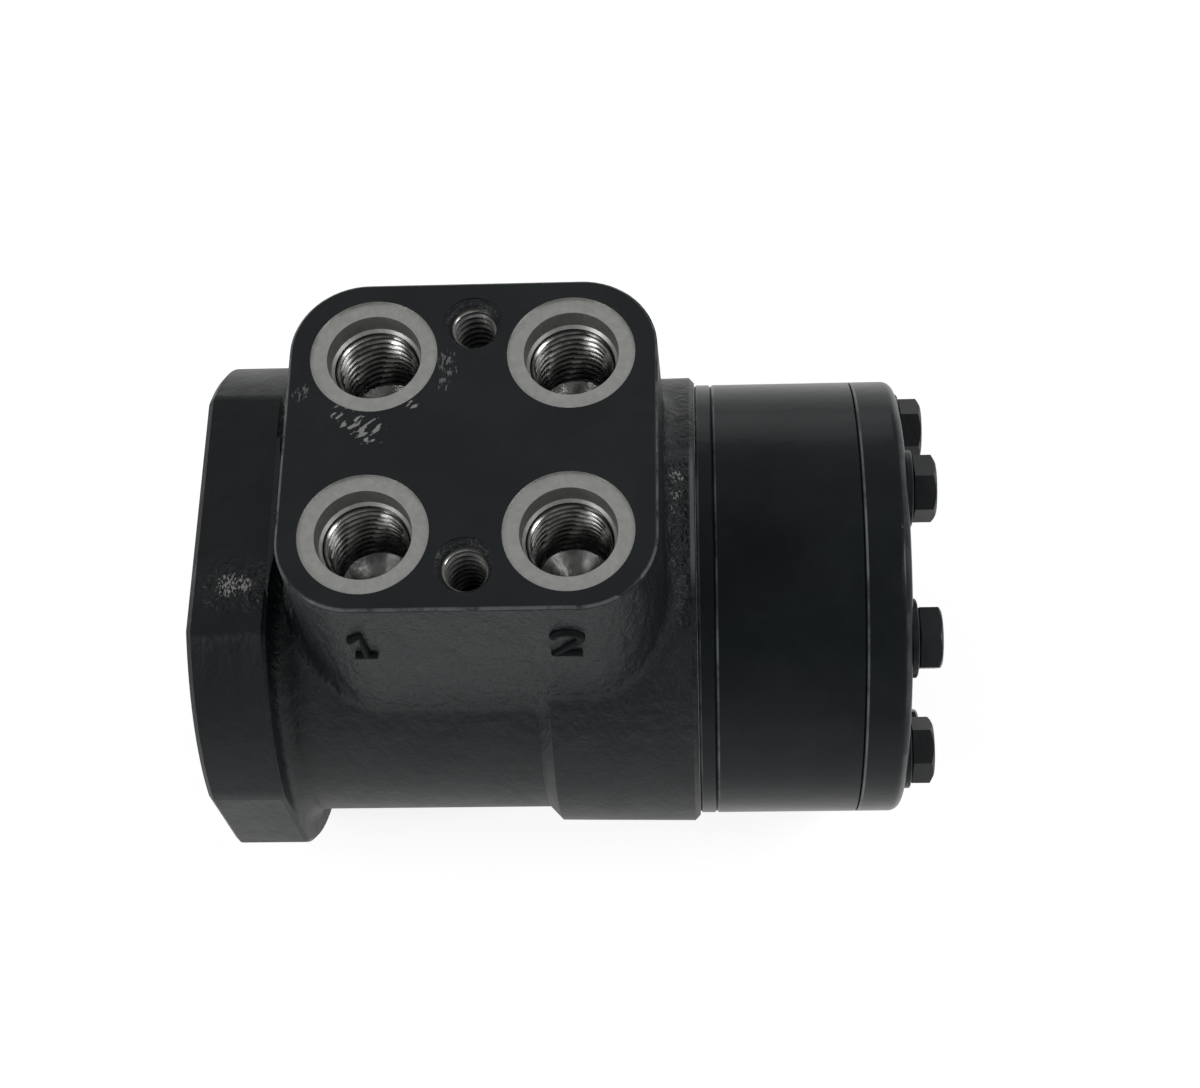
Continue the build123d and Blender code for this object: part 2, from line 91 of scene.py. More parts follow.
# ---- node trees ----
class Term:
    """A value in a node tree that is added, scaled and compared like a number."""

    def __init__(self, kit: "NodeKit", socket: NodeSocket) -> None:
        """Keeps the tree and the socket that gives the value."""
        self.kit = kit
        self.socket = socket

    def __add__(self, other: Value) -> "Term":
        """Sum."""
        return self.kit.math("ADD", self, other)

    def __sub__(self, other: Value) -> "Term":
        """Difference."""
        return self.kit.math("SUBTRACT", self, other)

    def __rsub__(self, other: Value) -> "Term":
        """Difference from a number."""
        return self.kit.math("SUBTRACT", other, self)

    def __mul__(self, other: Value) -> "Term":
        """Product, or the overlap of two masks."""
        return self.kit.math("MULTIPLY", self, other)

    def __truediv__(self, other: Value) -> "Term":
        """Quotient."""
        return self.kit.math("DIVIDE", self, other)

    def __or__(self, other: Value) -> "Term":
        """The larger value, or two masks together."""
        return self.kit.math("MAXIMUM", self, other)

    def __lt__(self, other: Value) -> "Term":
        """1 where it is less, otherwise 0."""
        return self.kit.math("LESS_THAN", self, other)

    def __gt__(self, other: Value) -> "Term":
        """1 where it is greater, otherwise 0."""
        return self.kit.math("GREATER_THAN", self, other)

    def __abs__(self) -> "Term":
        """The value without its sign."""
        return self.kit.math("ABSOLUTE", self)

    def line(self, gain: Value, base: Value) -> "Term":
        """The value times gain, plus base."""
        return self.kit.math("MULTIPLY_ADD", self, gain, base)

    def held(self) -> "Term":
        """The value held between 0 and 1."""
        return self.kit.math("MINIMUM", self | 0.0, 1.0)


class NodeKit:
    """Adds and links the nodes of one tree with short calls."""

    def __init__(self, tree: bpy.types.NodeTree) -> None:
        """Keeps the tree."""
        self.tree = tree

    def feed(self, socket: NodeSocket, value: object) -> None:
        """Links or sets an input socket.

        Args:
            socket: the input.
            value: a term, an output socket, or what the input is set to.
        """
        if isinstance(value, Term):
            value = value.socket
        if isinstance(value, NodeSocket):
            self.tree.links.new(value, socket)
        else:
            socket.default_value = value

    def node(self, kind: str, inputs: Optional[dict[object, object]] = None,
             **values: object) -> Node:
        """Adds a node.

        Args:
            kind: the node's type name.
            inputs: what its inputs get, by name or index.
            **values: its properties.

        Returns:
            The new node.
        """
        made = self.tree.nodes.new(kind)
        for key, value in values.items():
            setattr(made, key, value)
        for key, value in (inputs or {}).items():
            self.feed(made.inputs[key], value)
        return made

    def math(self, operation: str, *inputs: Value) -> Term:
        """Adds a Math node and returns its result."""
        return Term(self, self.node("ShaderNodeMath", dict(enumerate(inputs)),
                                    operation=operation).outputs[0])

    def parts(self, vector: Value) -> list[Term]:
        """Returns X, Y and Z of a vector."""
        return [Term(self, part) for part in self.node("ShaderNodeSeparateXYZ",
                                                       {0: vector}).outputs]

    def vector(self, *parts: Value) -> Term:
        """Joins X, Y and Z into a vector."""
        return Term(self, self.node("ShaderNodeCombineXYZ", dict(enumerate(parts))).outputs[0])

    def band(self, value: Value, low: float, high: float,
             ends: tuple[float, float] = (0.0, 1.0)) -> Term:
        """Maps a value from low..high to the two ends, smoothly and clamped.

        Args:
            value: the value to map.
            low: the value that gives the first end.
            high: the value that gives the second end.
            ends: the results.

        Returns:
            The mapped value.
        """
        made = self.node("ShaderNodeMapRange", {
            "Value": value, "From Min": low, "From Max": high, "To Min": ends[0],
            "To Max": ends[1]}, interpolation_type="SMOOTHSTEP")
        return Term(self, made.outputs[0])

    def blend(self, factor: Value, first: Value, second: Value) -> Term:
        """Mixes two shaders, all of the second where factor is 1."""
        made = self.node("ShaderNodeMixShader", {0: factor, 1: first, 2: second})
        return Term(self, made.outputs[0])


class Graph(NodeKit):
    """The shader tree of one material."""

    def __init__(self, name: str) -> None:
        """Starts a material with an empty tree.

        Args:
            name: the material's name.
        """
        self.material = bpy.data.materials.new(name)
        self.material.use_nodes = True
        super().__init__(self.material.node_tree)
        self.tree.nodes.clear()
        self.place = self.node("ShaderNodeTexCoord").outputs["Object"]

    @cached_property
    def xyz(self) -> list[Term]:
        """The place on the piece in millimetres."""
        return [part * MM_PER_M for part in self.parts(self.place)]

    def noise(self, per_mm: float, detail: float = 3.0, rough: float = 0.55,
              stretch: Triple = (1.0, 1.0, 1.0), shift: float = 0.0, turn: float = 0.0) -> Term:
        """Adds a noise whose features measure about 1 / per_mm millimetres.

        Args:
            per_mm: cells per millimetre.
            detail: number of octaves.
            rough: how strong the finer octaves are.
            stretch: factor on each axis.
            shift: offset of the pattern, in cells.
            turn: angle about Z that the stretched grain is turned by.

        Returns:
            The factor from 0 to 1.
        """
        place = self.place
        if turn:
            place = self.node("ShaderNodeVectorRotate", {"Vector": place, "Angle": -turn},
                              rotation_type="Z_AXIS").outputs[0]
        mapped = self.node("ShaderNodeMapping", {
            "Vector": place, "Scale": stretch, "Location": (shift, shift * 0.7, -shift)})
        made = self.node("ShaderNodeTexNoise", {
            "Vector": mapped.outputs[0], "Scale": per_mm * MM_PER_M, "Detail": detail,
            "Roughness": rough})
        return Term(self, made.outputs["Fac"])

    def window(self, value: Value, rise: tuple[float, float],
               fall: tuple[float, float]) -> Term:
        """Masks the values between two slopes.

        Args:
            value: the value to test.
            rise: where the mask goes from 0 to 1.
            fall: where it goes back to 0.

        Returns:
            The mask.
        """
        return self.band(value, *rise) * self.band(value, *fall, ends=FALL)

    def away(self, parts: Sequence[Term], centre: Sequence[float]) -> Term:
        """Measures the distance from an axis or a point.

        Args:
            parts: the place, in two parts for an axis or three for a point.
            centre: the axis or point.

        Returns:
            The distance.
        """
        steps = [part - middle for part, middle in zip(parts, centre)]
        return self.math("SQRT", reduce(operator.add, [step * step for step in steps]))

    def spots(self, balls: Balls) -> Term:
        """Mask of several balls that fade out towards their edges.

        Args:
            balls: centres and radii in millimetres.

        Returns:
            The mask.
        """
        return reduce(operator.or_, [
            self.band(self.away(self.xyz, centre), radius * 0.3, radius, ends=FALL)
            for centre, radius in balls])

    def flecks(self, near: Term, grain: Term, level: float) -> Term:
        """Breaks a mask up into flecks that thin out towards its edge.

        Args:
            near: the mask of the whole place.
            grain: the noise that gives the flecks their shape.
            level: how much of the noise is left out.

        Returns:
            The mask of the flecks.
        """
        return self.band(near.line(0.12, grain), level, level + 0.05) * self.band(near, 0.0, 0.2)

    def tint(self, factor: Value, dark: Triple, light: Union[Triple, Term]) -> Term:
        """Mixes two colours.

        Args:
            factor: 0 for dark, 1 for light.
            dark: first colour.
            light: second colour, or a term that gives it.

        Returns:
            The mixed colour.
        """
        light = light if isinstance(light, Term) else (*light, 1.0)
        made = self.node("ShaderNodeMix", {0: factor, 6: (*dark, 1.0), 7: light},
                         data_type="RGBA")
        return Term(self, made.outputs[2])

    def bump(self, height: Term, depth_mm: float) -> Term:
        """Adds a bump.

        Args:
            height: the height from 0 to 1.
            depth_mm: what a height of 1 stands for.

        Returns:
            The normal.
        """
        made = self.node("ShaderNodeBump", {"Strength": 1.0, "Distance": depth_mm * MM,
                                            "Height": height})
        return Term(self, made.outputs[0])

    def surface(self, color: Union[Triple, Term], rough: Value, normal: Optional[Term] = None,
                metallic: float = 0.0, specular: float = 0.5) -> Term:
        """Adds a Principled shader.

        Args:
            color: the colour.
            rough: the roughness.
            normal: the normal, where there is relief.
            metallic: 0 for paint, 1 for bare metal.
            specular: strength of the gloss on paint.

        Returns:
            The shader.
        """
        color = color if isinstance(color, Term) else (*color, 1.0)
        inputs = {"Base Color": color, "Roughness": rough, "Metallic": metallic,
                  "Specular IOR Level": specular}
        if normal is not None:
            inputs["Normal"] = normal
        return Term(self, self.node("ShaderNodeBsdfPrincipled", inputs).outputs[0])

    def finish(self, shader: Term) -> Material:
        """Links the shader to the output and returns the material."""
        self.node("ShaderNodeOutputMaterial", {"Surface": shader})
        return self.material


# ---- finishes ----
@dataclass(frozen=True)
class Layout:
    """Places that both shapes and finishes need, in millimetres."""

    port_x: float = 62.6
    port_dx: float = 20.55
    port_dy: float = 20.6
    top: float = 78.5
    spot_r: float = 13.3
    fix_dy: float = 28.0
    column_r: float = 41.25
    column_off: float = 29.17
    body_x: float = 108.3
    bore_r: float = 24.0
    port_floor_z: float = 52.5
    drill_z: float = 44.0
    bolt_circle: float = 38.5
    floor_z: float = -51.8


LAYOUT = Layout()


@dataclass(frozen=True)
class ThreadSize:
    """One internal thread, in millimetres; start is the depth of its first turn."""

    nominal_r: float
    crest_r: float
    pitch: float
    length: float
    start: float
    around: int


PORT = ThreadSize(nominal_r=8.98, crest_r=8.0, pitch=2.0, length=20.2, start=5.5, around=64)
FIXING = ThreadSize(nominal_r=4.98, crest_r=4.2, pitch=2.0, length=17.5, start=1.75, around=48)
COLUMN = ThreadSize(nominal_r=4.98, crest_r=4.25, pitch=1.5, length=17.0, start=0.8, around=40)


@dataclass(frozen=True)
class PaintFilm:
    """Near-black semi-gloss enamel."""

    dark: Triple = (0.0062, 0.0084, 0.0097)
    light: Triple = (0.0096, 0.0122, 0.0137)
    chip_and_glint_grey: Triple = (0.30, 0.30, 0.29)
    # light grey of the painted highlights on edges and rims
    wear_and_sheen: Triple = (0.115, 0.125, 0.133)
    gloss: float = 0.32
    matt: float = 0.46
    wet_gain: float = 0.16
    specular: float = 0.23

    def coat(self, g: Graph, normal: Term, wet: Optional[Term] = None) -> Term:
        """Returns the enamel's shader over a given relief.

        Args:
            g: the graph.
            normal: the relief under the paint.
            wet: mask of glossier places.

        Returns:
            The shader.
        """
        color = g.tint(g.band(g.noise(0.06, 4.0, 0.6), 0.35, 0.68), self.dark, self.light)
        rough = g.noise(0.11, 3.0, 0.6, shift=4.0).line(self.matt - self.gloss, self.gloss)
        if wet is not None:
            rough = wet.line(-self.wet_gain, rough)
        return g.surface(color, rough, normal, specular=self.specular)

    def painted_sheen(self, g: Graph) -> Term:
        """Returns the shader of a painted highlight: a light grey that stands in for the sheen on
        edges.
        """
        return g.surface(self.wear_and_sheen, 0.30, specular=0.4)


@dataclass(frozen=True)
class CastPaint:
    """Enamel over a sand casting, with bare machined seats, small chips, painted highlights on
    edges and painted glints.
    """

    film: PaintFilm = PaintFilm(specular=0.26)
    grit: float = 1.1
    lump: float = 0.36
    relief_mm: float = 0.85
    iron_dark: Triple = (0.375, 0.375, 0.36)
    iron_light: Triple = (0.465, 0.465, 0.45)
    floor_dark: Triple = (0.20, 0.20, 0.195)
    floor_light: Triple = (0.42, 0.42, 0.41)
    floor_from_z: float = 40.0
    calm_below_z: tuple[float, float] = (12.0, 40.0)
    calm_before_x: tuple[float, float] = (16.2, 17.4)
    calm_face: float = 0.88
    calm_rim: float = 0.8
    calm_low: float = 0.78
    sheen_far: float = 34.9
    sheen_gain: float = 0.7
    sandy: Balls = (((104.0, 4.0, 50.5), 11.0), ((103.5, -10.0, 50.0), 9.0),
                    ((8.0, -17.0, 48.0), 9.0), ((14.0, -17.0, 48.0), 8.0))
    knocks: Balls = (((42.0, 2.6, 78.5), 4.2), ((38.6, 4.6, 78.5), 3.6),
                     ((36.2, 6.9, 78.5), 2.6), ((50.2, 9.6, 78.5), 2.4))
    scratches: Balls = (((57.2, 19.6, 78.5), 2.6), ((57.6, 16.6, 78.5), 2.6),
                        ((57.2, 13.6, 78.5), 2.2), ((27.6, 12.0, 78.4), 2.6))
    # places of the painted glints
    glints: Balls = (((103.2, 5.0, 50.8), 3.2), ((102.9, 1.0, 50.7), 3.2),
                     ((102.6, -3.2, 50.4), 3.2), ((102.3, -7.4, 50.0), 3.2),
                     ((102.1, -11.0, 49.6), 3.0), ((102.0, -14.0, 49.1), 2.8),
                     ((8.7, -17.4, 48.2), 3.6), ((11.8, -17.2, 48.2), 2.8))
    lip_rise: tuple[float, float] = (106.7, 107.4)
    lip_fall: tuple[float, float] = (107.8, 108.2)
    lip: Balls = (((107.5, 2.0, 51.6), 15.0), ((107.5, -9.0, 50.8), 13.0))

    def build(self) -> Material:
        """Returns the casting's material."""
        g = Graph("enamel_over_casting")
        x, _, z = g.xyz
        lumps = g.noise(self.lump, 3.0, 0.5, stretch=(1.0, 1.0, 0.55))
        grit = g.noise(self.grit, 3.0, 0.6, stretch=(1.0, 1.0, 0.7), shift=1.0)
        calm = (g.band(z, LAYOUT.top - 1.3, LAYOUT.top - 0.2) * self.calm_face
                | g.band(x, *self.calm_before_x, ends=FALL) * self.calm_rim
                | g.band(z, *self.calm_below_z, ends=FALL) * self.calm_low)
        sandy = g.spots(self.sandy)
        height = (lumps + grit * 0.4) * ((1.0 - calm) + sandy * 1.1)
        paint = self.film.coat(g, g.bump(height, self.relief_mm), sandy)
        # painted highlights: light grey lines and sheen blended over the enamel
        paint = g.blend(self.painted_sheen(g) * self.sheen_gain, paint, self.film.painted_sheen(g))
        # one light metal shader for the real chips and for the painted glints
        chip_and_glint = g.surface(self.film.chip_and_glint_grey, 0.42, g.bump(grit, 0.15), metallic=0.8)
        paint = g.blend(self.chips_and_glints(g), paint, chip_and_glint)
        mask, away = self.machined(g)
        return g.finish(g.blend(mask, paint, self.bare(g, away)))

    @staticmethod
    def machined(g: Graph) -> tuple[Term, Term]:
        """Mask of the bare ports, bore and gear end, and the distance from the cutter's axis.

        Args:
            g: the graph.

        Returns:
            The mask and the distance in millimetres.
        """
        x, y, z = g.xyz
        away = g.away((abs(x - LAYOUT.port_x), abs(y)), (LAYOUT.port_dx, LAYOUT.port_dy))
        port = ((away < LAYOUT.spot_r + 0.06) * (z < LAYOUT.top - 0.04)
                * (z > LAYOUT.drill_z))
        turn = g.away((y, z), (0.0, 0.0))
        bore = (turn < LAYOUT.bore_r) * (x > 0.05)
        return port | bore | (x > LAYOUT.body_x - 0.05), g.math("MINIMUM", away, turn)

    def bare(self, g: Graph, away: Term) -> Term:
        """Machined cast iron with rings left by the cutter, darker and blotchy on the port
        floors.

        Args:
            g: the graph.
            away: distance from the cutter's axis in millimetres.

        Returns:
            The shader.
        """
        z = g.xyz[2]
        # the machined iron's own uneven wear and tone
        wear_and_sheen = g.noise(0.7, 5.0, 0.65, shift=2.0)
        color = g.tint(g.band(wear_and_sheen, 0.25, 0.8), self.iron_dark, self.iron_light)
        rings = g.math("SINE", away * 22.0)
        face = g.surface(color, wear_and_sheen.line(0.16, 0.32), g.bump(rings.line(0.2, wear_and_sheen), 0.007),
                         metallic=0.85)
        # the port floors get a darker grey with blotches
        blotch = g.band(g.noise(0.22, 3.0, 0.5, shift=9.0), 0.40, 0.62)
        ripple = g.noise(0.55, 3.0, 0.55, shift=6.0)
        floor = g.surface(g.tint(blotch, self.floor_dark, self.floor_light), wear_and_sheen.line(0.12, 0.18),
                          g.bump(ripple, 0.09), metallic=0.55)
        deep = g.band(z, LAYOUT.port_floor_z + 0.3, LAYOUT.port_floor_z + 1.1, ends=FALL)
        return g.blend(deep * (z > self.floor_from_z), face, floor)

    def chips_and_glints(self, g: Graph) -> Term:
        """Mask of the knocks and scratches where the paint is chipped to metal, and of painted
        glints: light flecks that stand in for the sparkle of rough casting under gloss.

        Args:
            g: the graph.

        Returns:
            The mask.
        """
        flakes = g.noise(0.75, 2.0, 0.5, stretch=(0.55, 1.5, 1.0), shift=7.0,
                         turn=math.radians(40.0))
        hair = g.noise(1.3, 3.0, 0.6, stretch=(1.6, 0.5, 1.0), shift=3.0)
        glint_grain = g.noise(1.9, 3.0, 0.6, stretch=(1.3, 0.6, 1.0), shift=11.0)
        return (g.flecks(g.spots(self.knocks), flakes, 0.645)
                | g.flecks(g.spots(self.scratches), hair, 0.63) * 0.5
                | g.flecks(g.spots(self.glints), glint_grain, 0.595))

    def painted_sheen(self, g: Graph) -> Term:
        """Mask of the painted highlights: thin light lines on the edges of the port face, and a
        painted sheen on the lip of the gear end.

        Args:
            g: the graph.

        Returns:
            The mask.
        """
        x, y, z = g.xyz
        top = LAYOUT.top
        edge = g.window(z, (top - 0.95, top - 0.55), (top - 0.30, top - 0.05))
        edge = edge * ((abs(x - LAYOUT.port_x) | abs(y)) > self.sheen_far)
        patchy = g.band(g.noise(0.25, 4.0, 0.6, shift=8.0), 0.30, 0.60)
        return edge * patchy | g.window(x, self.lip_rise, self.lip_fall) * g.spots(self.lip)


@dataclass(frozen=True)
class TurnedPaint:
    """Enamel over turned steel: smooth, with faint lathe rings about the shaft and painted
    highlight lines on its corners and rim.
    """

    film: PaintFilm = PaintFilm(gloss=0.19, matt=0.27, specular=0.15)
    corners: tuple[float, ...] = (108.68, 112.48, 144.48)
    rim: tuple[float, float] = (152.2, 153.7)
    rim_slope: float = 0.6

    def painted_highlight_lines(self, g: Graph) -> Term:
        """Mask of the painted highlights: light lines on the corners of plate, ring and cover,
        and a fainter band on the cover's rim.

        Args:
            g: the graph.

        Returns:
            The mask.
        """
        x = g.xyz[0]
        first, last = self.rim
        mask = g.window(x, (first, first + self.rim_slope), (last - self.rim_slope, last)) * 0.45
        for corner in self.corners:
            mask = mask | g.band(abs(x - corner), 0.10, 0.34, ends=FALL)
        patchy = g.band(g.noise(0.07, 4.0, 0.6, shift=5.0), 0.35, 0.62)
        return mask * patchy.line(0.78, 0.16)

    def build(self) -> Material:
        """Returns the material."""
        g = Graph("enamel_over_turned_steel")
        rings = g.math("SINE", g.xyz[0] * 9.0)
        height = rings.line(0.05, g.noise(0.35, 3.0, 0.55))
        paint = self.film.coat(g, g.bump(height, 0.05))
        # the light lines blended in here are painted highlights
        return g.finish(g.blend(self.painted_highlight_lines(g), paint, self.film.painted_sheen(g)))


@dataclass(frozen=True)
class SmoothPaint:
    """Enamel over a small smooth piece: a bolt, a washer or a cast figure."""

    name: str
    film: PaintFilm

    def build(self) -> Material:
        """Returns the material."""
        g = Graph(self.name)
        return g.finish(self.film.coat(g, g.bump(g.noise(0.9, 3.0, 0.55), 0.06)))


@dataclass(frozen=True)
class Metal:
    """Bare metal with fine scratches or grinding marks."""

    name: str
    dark: Triple
    light: Triple
    rough: float
    stretch: Triple = (1.0, 1.0, 1.0)
    relief: float = 0.015

    def build(self) -> Material:
        """Returns the material."""
        g = Graph(self.name)
        marks = g.noise(0.9, 5.0, 0.68, stretch=self.stretch)
        stain = g.noise(0.12, 3.0, 0.6, shift=3.0)
        color = g.tint(g.band(marks * 0.5 + stain * 0.5, 0.35, 0.65), self.dark, self.light)
        rough = marks.line(0.22, self.rough - 0.08)
        return g.finish(g.surface(color, rough, g.bump(marks, self.relief), metallic=1.0))


@dataclass(frozen=True)
class ThreadMetal:
    """Cut thread: bright crests, and roots painted near black as painted shade in the grooves."""

    name: str
    size: ThreadSize
    offset: tuple[float, float]
    dark: Triple = (0.22, 0.22, 0.215)
    light: Triple = (0.44, 0.435, 0.425)
    root: Triple = (0.035, 0.035, 0.034)
    metallic: float = 1.0
    sideways: bool = False

    def build(self) -> Material:
        """Returns the material."""
        g = Graph(self.name)
        x, y, z = g.xyz
        across = (y, z) if self.sideways else (x - LAYOUT.port_x, y)
        away = g.away([abs(part) for part in across], self.offset)
        top, deep = self.size.crest_r, self.size.nominal_r - self.size.crest_r
        crest = g.band(away, top + 0.12 * deep, top + 0.72 * deep, ends=FALL)
        marks = g.noise(0.35, 3.0, 0.55)
        bright = g.tint(g.band(marks, 0.35, 0.65), self.dark, self.light)
        # painted shade: away from the crests the thread is coloured near black
        return g.finish(g.surface(g.tint(crest, self.root, bright), marks.line(0.12, 0.20),
                                  g.bump(marks, 0.02), metallic=self.metallic))


@dataclass(frozen=True)
class Soft:
    """Rubber or filled plastic."""

    name: str
    dark: Triple
    light: Triple
    rough: float = 0.6

    def build(self) -> Material:
        """Returns the material."""
        g = Graph(self.name)
        grain = g.noise(1.4, 4.0, 0.6)
        color = g.tint(g.noise(0.2, 3.0, 0.5, shift=5.0), self.dark, self.light)
        return g.finish(g.surface(color, grain.line(0.2, self.rough - 0.1),
                                  g.bump(grain, 0.03), specular=0.35))


class Finishes:
    """Every finish of the unit, built once."""

    def __init__(self) -> None:
        """Builds the materials."""
        by_slot = {
            Slot.CAST: CastPaint(),
            Slot.TURNED: TurnedPaint(),
            Slot.STEEL: Metal("ground_steel", (0.36, 0.36, 0.36), (0.58, 0.58, 0.57), 0.28),
            Slot.DARK: Metal("hardened_steel", (0.14, 0.14, 0.145), (0.30, 0.30, 0.30), 0.34),
            Slot.GEAR: Metal("gear_steel", (0.28, 0.28, 0.285), (0.46, 0.46, 0.46), 0.26,
                             stretch=(0.15, 1.0, 1.0)),
            Slot.SPRING: Metal("spring_steel", (0.10, 0.115, 0.14), (0.24, 0.26, 0.30), 0.3,
                               stretch=(1.0, 0.1, 1.0)),
            Slot.RUBBER: Soft("nitrile_rubber", (0.010, 0.010, 0.010), (0.024, 0.023, 0.022)),
            Slot.PTFE: Soft("filled_ptfe", (0.13, 0.10, 0.065), (0.21, 0.165, 0.11), 0.45),
        }
        self.by_slot = {slot: finish.build() for slot, finish in by_slot.items()}
        self.thread = ThreadMetal("cut_thread", PORT, (LAYOUT.port_dx, LAYOUT.port_dy)).build()
        self.fixing_thread = ThreadMetal("fixing_thread", FIXING, (0.0, LAYOUT.fix_dy),
                                         metallic=0.55).build()
        self.column_thread = ThreadMetal("column_thread", COLUMN, (LAYOUT.column_off,) * 2,
                                         metallic=0.55, sideways=True).build()
        self.bolt_paint = SmoothPaint("enamel_on_fasteners", PaintFilm(
            dark=(0.0085, 0.0105, 0.0115), light=(0.0150, 0.0175, 0.0190), gloss=0.26,
            matt=0.36)).build()
        # painted shade: the figures get a darker, duller enamel than the wall so they read dark
        self.figure_shade_paint = SmoothPaint("figures_in_painted_shade", PaintFilm(
            dark=(0.0036, 0.0048, 0.0054), light=(0.0050, 0.0062, 0.0068), gloss=0.44,
            matt=0.56, specular=0.06)).build()


# ---- mesh helpers ----
class Workshop:
    """Turns node copies, rings of points and node trees into finished pieces."""

    def __init__(self, finishes: Finishes) -> None:
        """Keeps the finishes at hand."""
        self.finishes = finishes

    @staticmethod
    def link(name: str, data: bpy.types.ID) -> Object:
        """Puts a mesh, curve, lamp or camera in the scene as an object at the origin."""
        made = bpy.data.objects.new(name, data)
        bpy.context.scene.collection.objects.link(made)
        return made

    @staticmethod
    def kept(work: bmesh.types.BMesh, name: str) -> Mesh:
        """Keeps worked geometry as a mesh and frees it."""
        mesh = bpy.data.meshes.new(name)
        work.to_mesh(mesh)
        work.free()
        return mesh

    @staticmethod
    def baked(host: Object, name: str) -> Mesh:
        """Turns an object into a plain mesh and removes the object.

        Args:
            host: a curve, or a mesh with a modifier.
            name: the mesh's name.

        Returns:
            A mesh with no modifier.
        """
        bpy.context.view_layer.update()
        ready = host.evaluated_get(bpy.context.evaluated_depsgraph_get())
        mesh = bpy.data.meshes.new_from_object(ready)
        mesh.name = name
        host.modifiers.clear()
        bpy.data.objects.remove(host)
        return mesh

    @staticmethod
    def shade(mesh: Mesh, sharp_deg: float) -> None:
        """Shades smooth, with creases where faces meet at more than an angle.

        Args:
            mesh: the mesh, with merged vertices.
            sharp_deg: the angle.
        """
        work = bmesh.new()
        work.from_mesh(mesh)
        limit = math.radians(sharp_deg)
        for edge in work.edges:
            edge.smooth = len(edge.link_faces) == 2 and edge.calc_face_angle(0.0) < limit
        for face in work.faces:
            face.smooth = True
        work.to_mesh(mesh)
        work.free()

    def dressed_copy(self, node: str, name: str, sharp_deg: float = 32.0) -> Object:
        """Copies a node's mesh with merged vertices and smooth shading.

        Args:
            node: the CAD node.
            name: the piece's name.
            sharp_deg: crease angle.

        Returns:
            The new object.
        """
        mesh = frame["nodes"][node].data.copy()
        mesh.name = name
        work = bmesh.new()
        work.from_mesh(mesh)
        bmesh.ops.remove_doubles(work, verts=work.verts, dist=2e-6)
        bmesh.ops.dissolve_degenerate(work, edges=work.edges, dist=1e-6)
        work.to_mesh(mesh)
        work.free()
        if mesh.has_custom_normals:
            mesh.attributes.remove(mesh.attributes["custom_normal"])
        self.shade(mesh, sharp_deg)
        piece = self.link(name, mesh)
        even = piece.modifiers.new("even_shading", "WEIGHTED_NORMAL")
        even.keep_sharp = True
        return piece

    @staticmethod
    def paint(piece: Object, material: Material) -> None:
        """Gives a piece one material."""
        piece.data.materials.clear()
        piece.data.materials.append(material)

    def settle(self, piece: Object, slot: Slot, nodes: Sequence[str] = (),
               material: Optional[Material] = None) -> None:
        """Paints a piece, fixes it to the case and hides the nodes that it stands for.

        Args:
            piece: the object.
            slot: the record's slot.
            nodes: CAD nodes that it replaces.
            material: a finish other than the slot's.
        """
        self.paint(piece, material or self.finishes.by_slot[slot])
        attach(piece, CASE)
        if nodes:
            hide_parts(*nodes)
        LOG.info("%s: %d faces, rides on %s", piece.name, len(piece.data.polygons), CASE)

    @staticmethod
    def ring(radii: Sequence[float], heights: Sequence[float]) -> list[Triple]:
        """Points of a ring about Z.

        Args:
            radii: radius of each point in millimetres.
            heights: height of each point in millimetres.

        Returns:
            The points in metres.
        """
        turns = [math.tau * i / len(radii) for i in range(len(radii))]
        return [(radius * MM * math.cos(turn), radius * MM * math.sin(turn), height * MM)
                for turn, radius, height in zip(turns, radii, heights)]

    @staticmethod
    def skin(rings: Sequence[Sequence[Triple]], name: str, loop: bool = False) -> Mesh:
        """Lays faces between rings of points.

        Args:
            rings: the rings, with the same number of points each.
            name: the mesh's name.
            loop: whether the last ring meets the first; otherwise both get a cap.

        Returns:
            The closed mesh.
        """
        work = bmesh.new()
        rows = [[work.verts.new(point) for point in ring] for ring in rings]
        for one, two in zip(rows, rows[1:] + rows[:1] if loop else rows[1:]):
            for i, corner in enumerate(one):
                j = (i + 1) % len(one)
                work.faces.new((corner, one[j], two[j], two[i]))
        if not loop:
            work.faces.new(rows[0][::-1])
            work.faces.new(rows[-1])
        bmesh.ops.recalc_face_normals(work, faces=work.faces)
        return Workshop.kept(work, name)


class NodeTree(NodeKit):
    """A Geometry Nodes tree with named number inputs."""

    def __init__(self, name: str, sizes: dict[str, float]) -> None:
        """Starts a tree with one input per size.

        Args:
            name: the tree's name.
            sizes: input names and their values.
        """
        super().__init__(bpy.data.node_groups.new(name, "GeometryNodeTree"))
        self.sizes = sizes
        face = self.tree.interface
        face.new_socket("Geometry", in_out="INPUT", socket_type="NodeSocketGeometry")
        self.ids = {key: face.new_socket(key, in_out="INPUT",
                                         socket_type="NodeSocketFloat").identifier
                    for key in sizes}
        face.new_socket("Geometry", in_out="OUTPUT", socket_type="NodeSocketGeometry")
        self.entry = self.node("NodeGroupInput")

    def size(self, key: str) -> Term:
        """Returns the value of a named input."""
        return Term(self, self.entry.outputs[key])

    def run(self, geometry: Node, material: Material,
            name: str) -> Mesh:
        """Ends the tree in Realize Instances and Set Material, and runs it.

        Args:
            geometry: the last node that shapes the piece.
            material: the finish.
            name: the result's name.

        Returns:
            A mesh with no modifier.
        """
        real = self.node("GeometryNodeRealizeInstances", {"Geometry": geometry.outputs[0]})
        dressed = self.node("GeometryNodeSetMaterial", {"Geometry": real.outputs[0],
                                                        "Material": material})
        self.node("NodeGroupOutput", {0: dressed.outputs[0]})
        host = Workshop.link(name + "_host", bpy.data.meshes.new(name + "_seed"))
        modifier = host.modifiers.new("nodes", "NODES")
        modifier.node_group = self.tree
        for key, value in self.sizes.items():
            modifier[self.ids[key]] = float(value)
        return Workshop.baked(host, name)


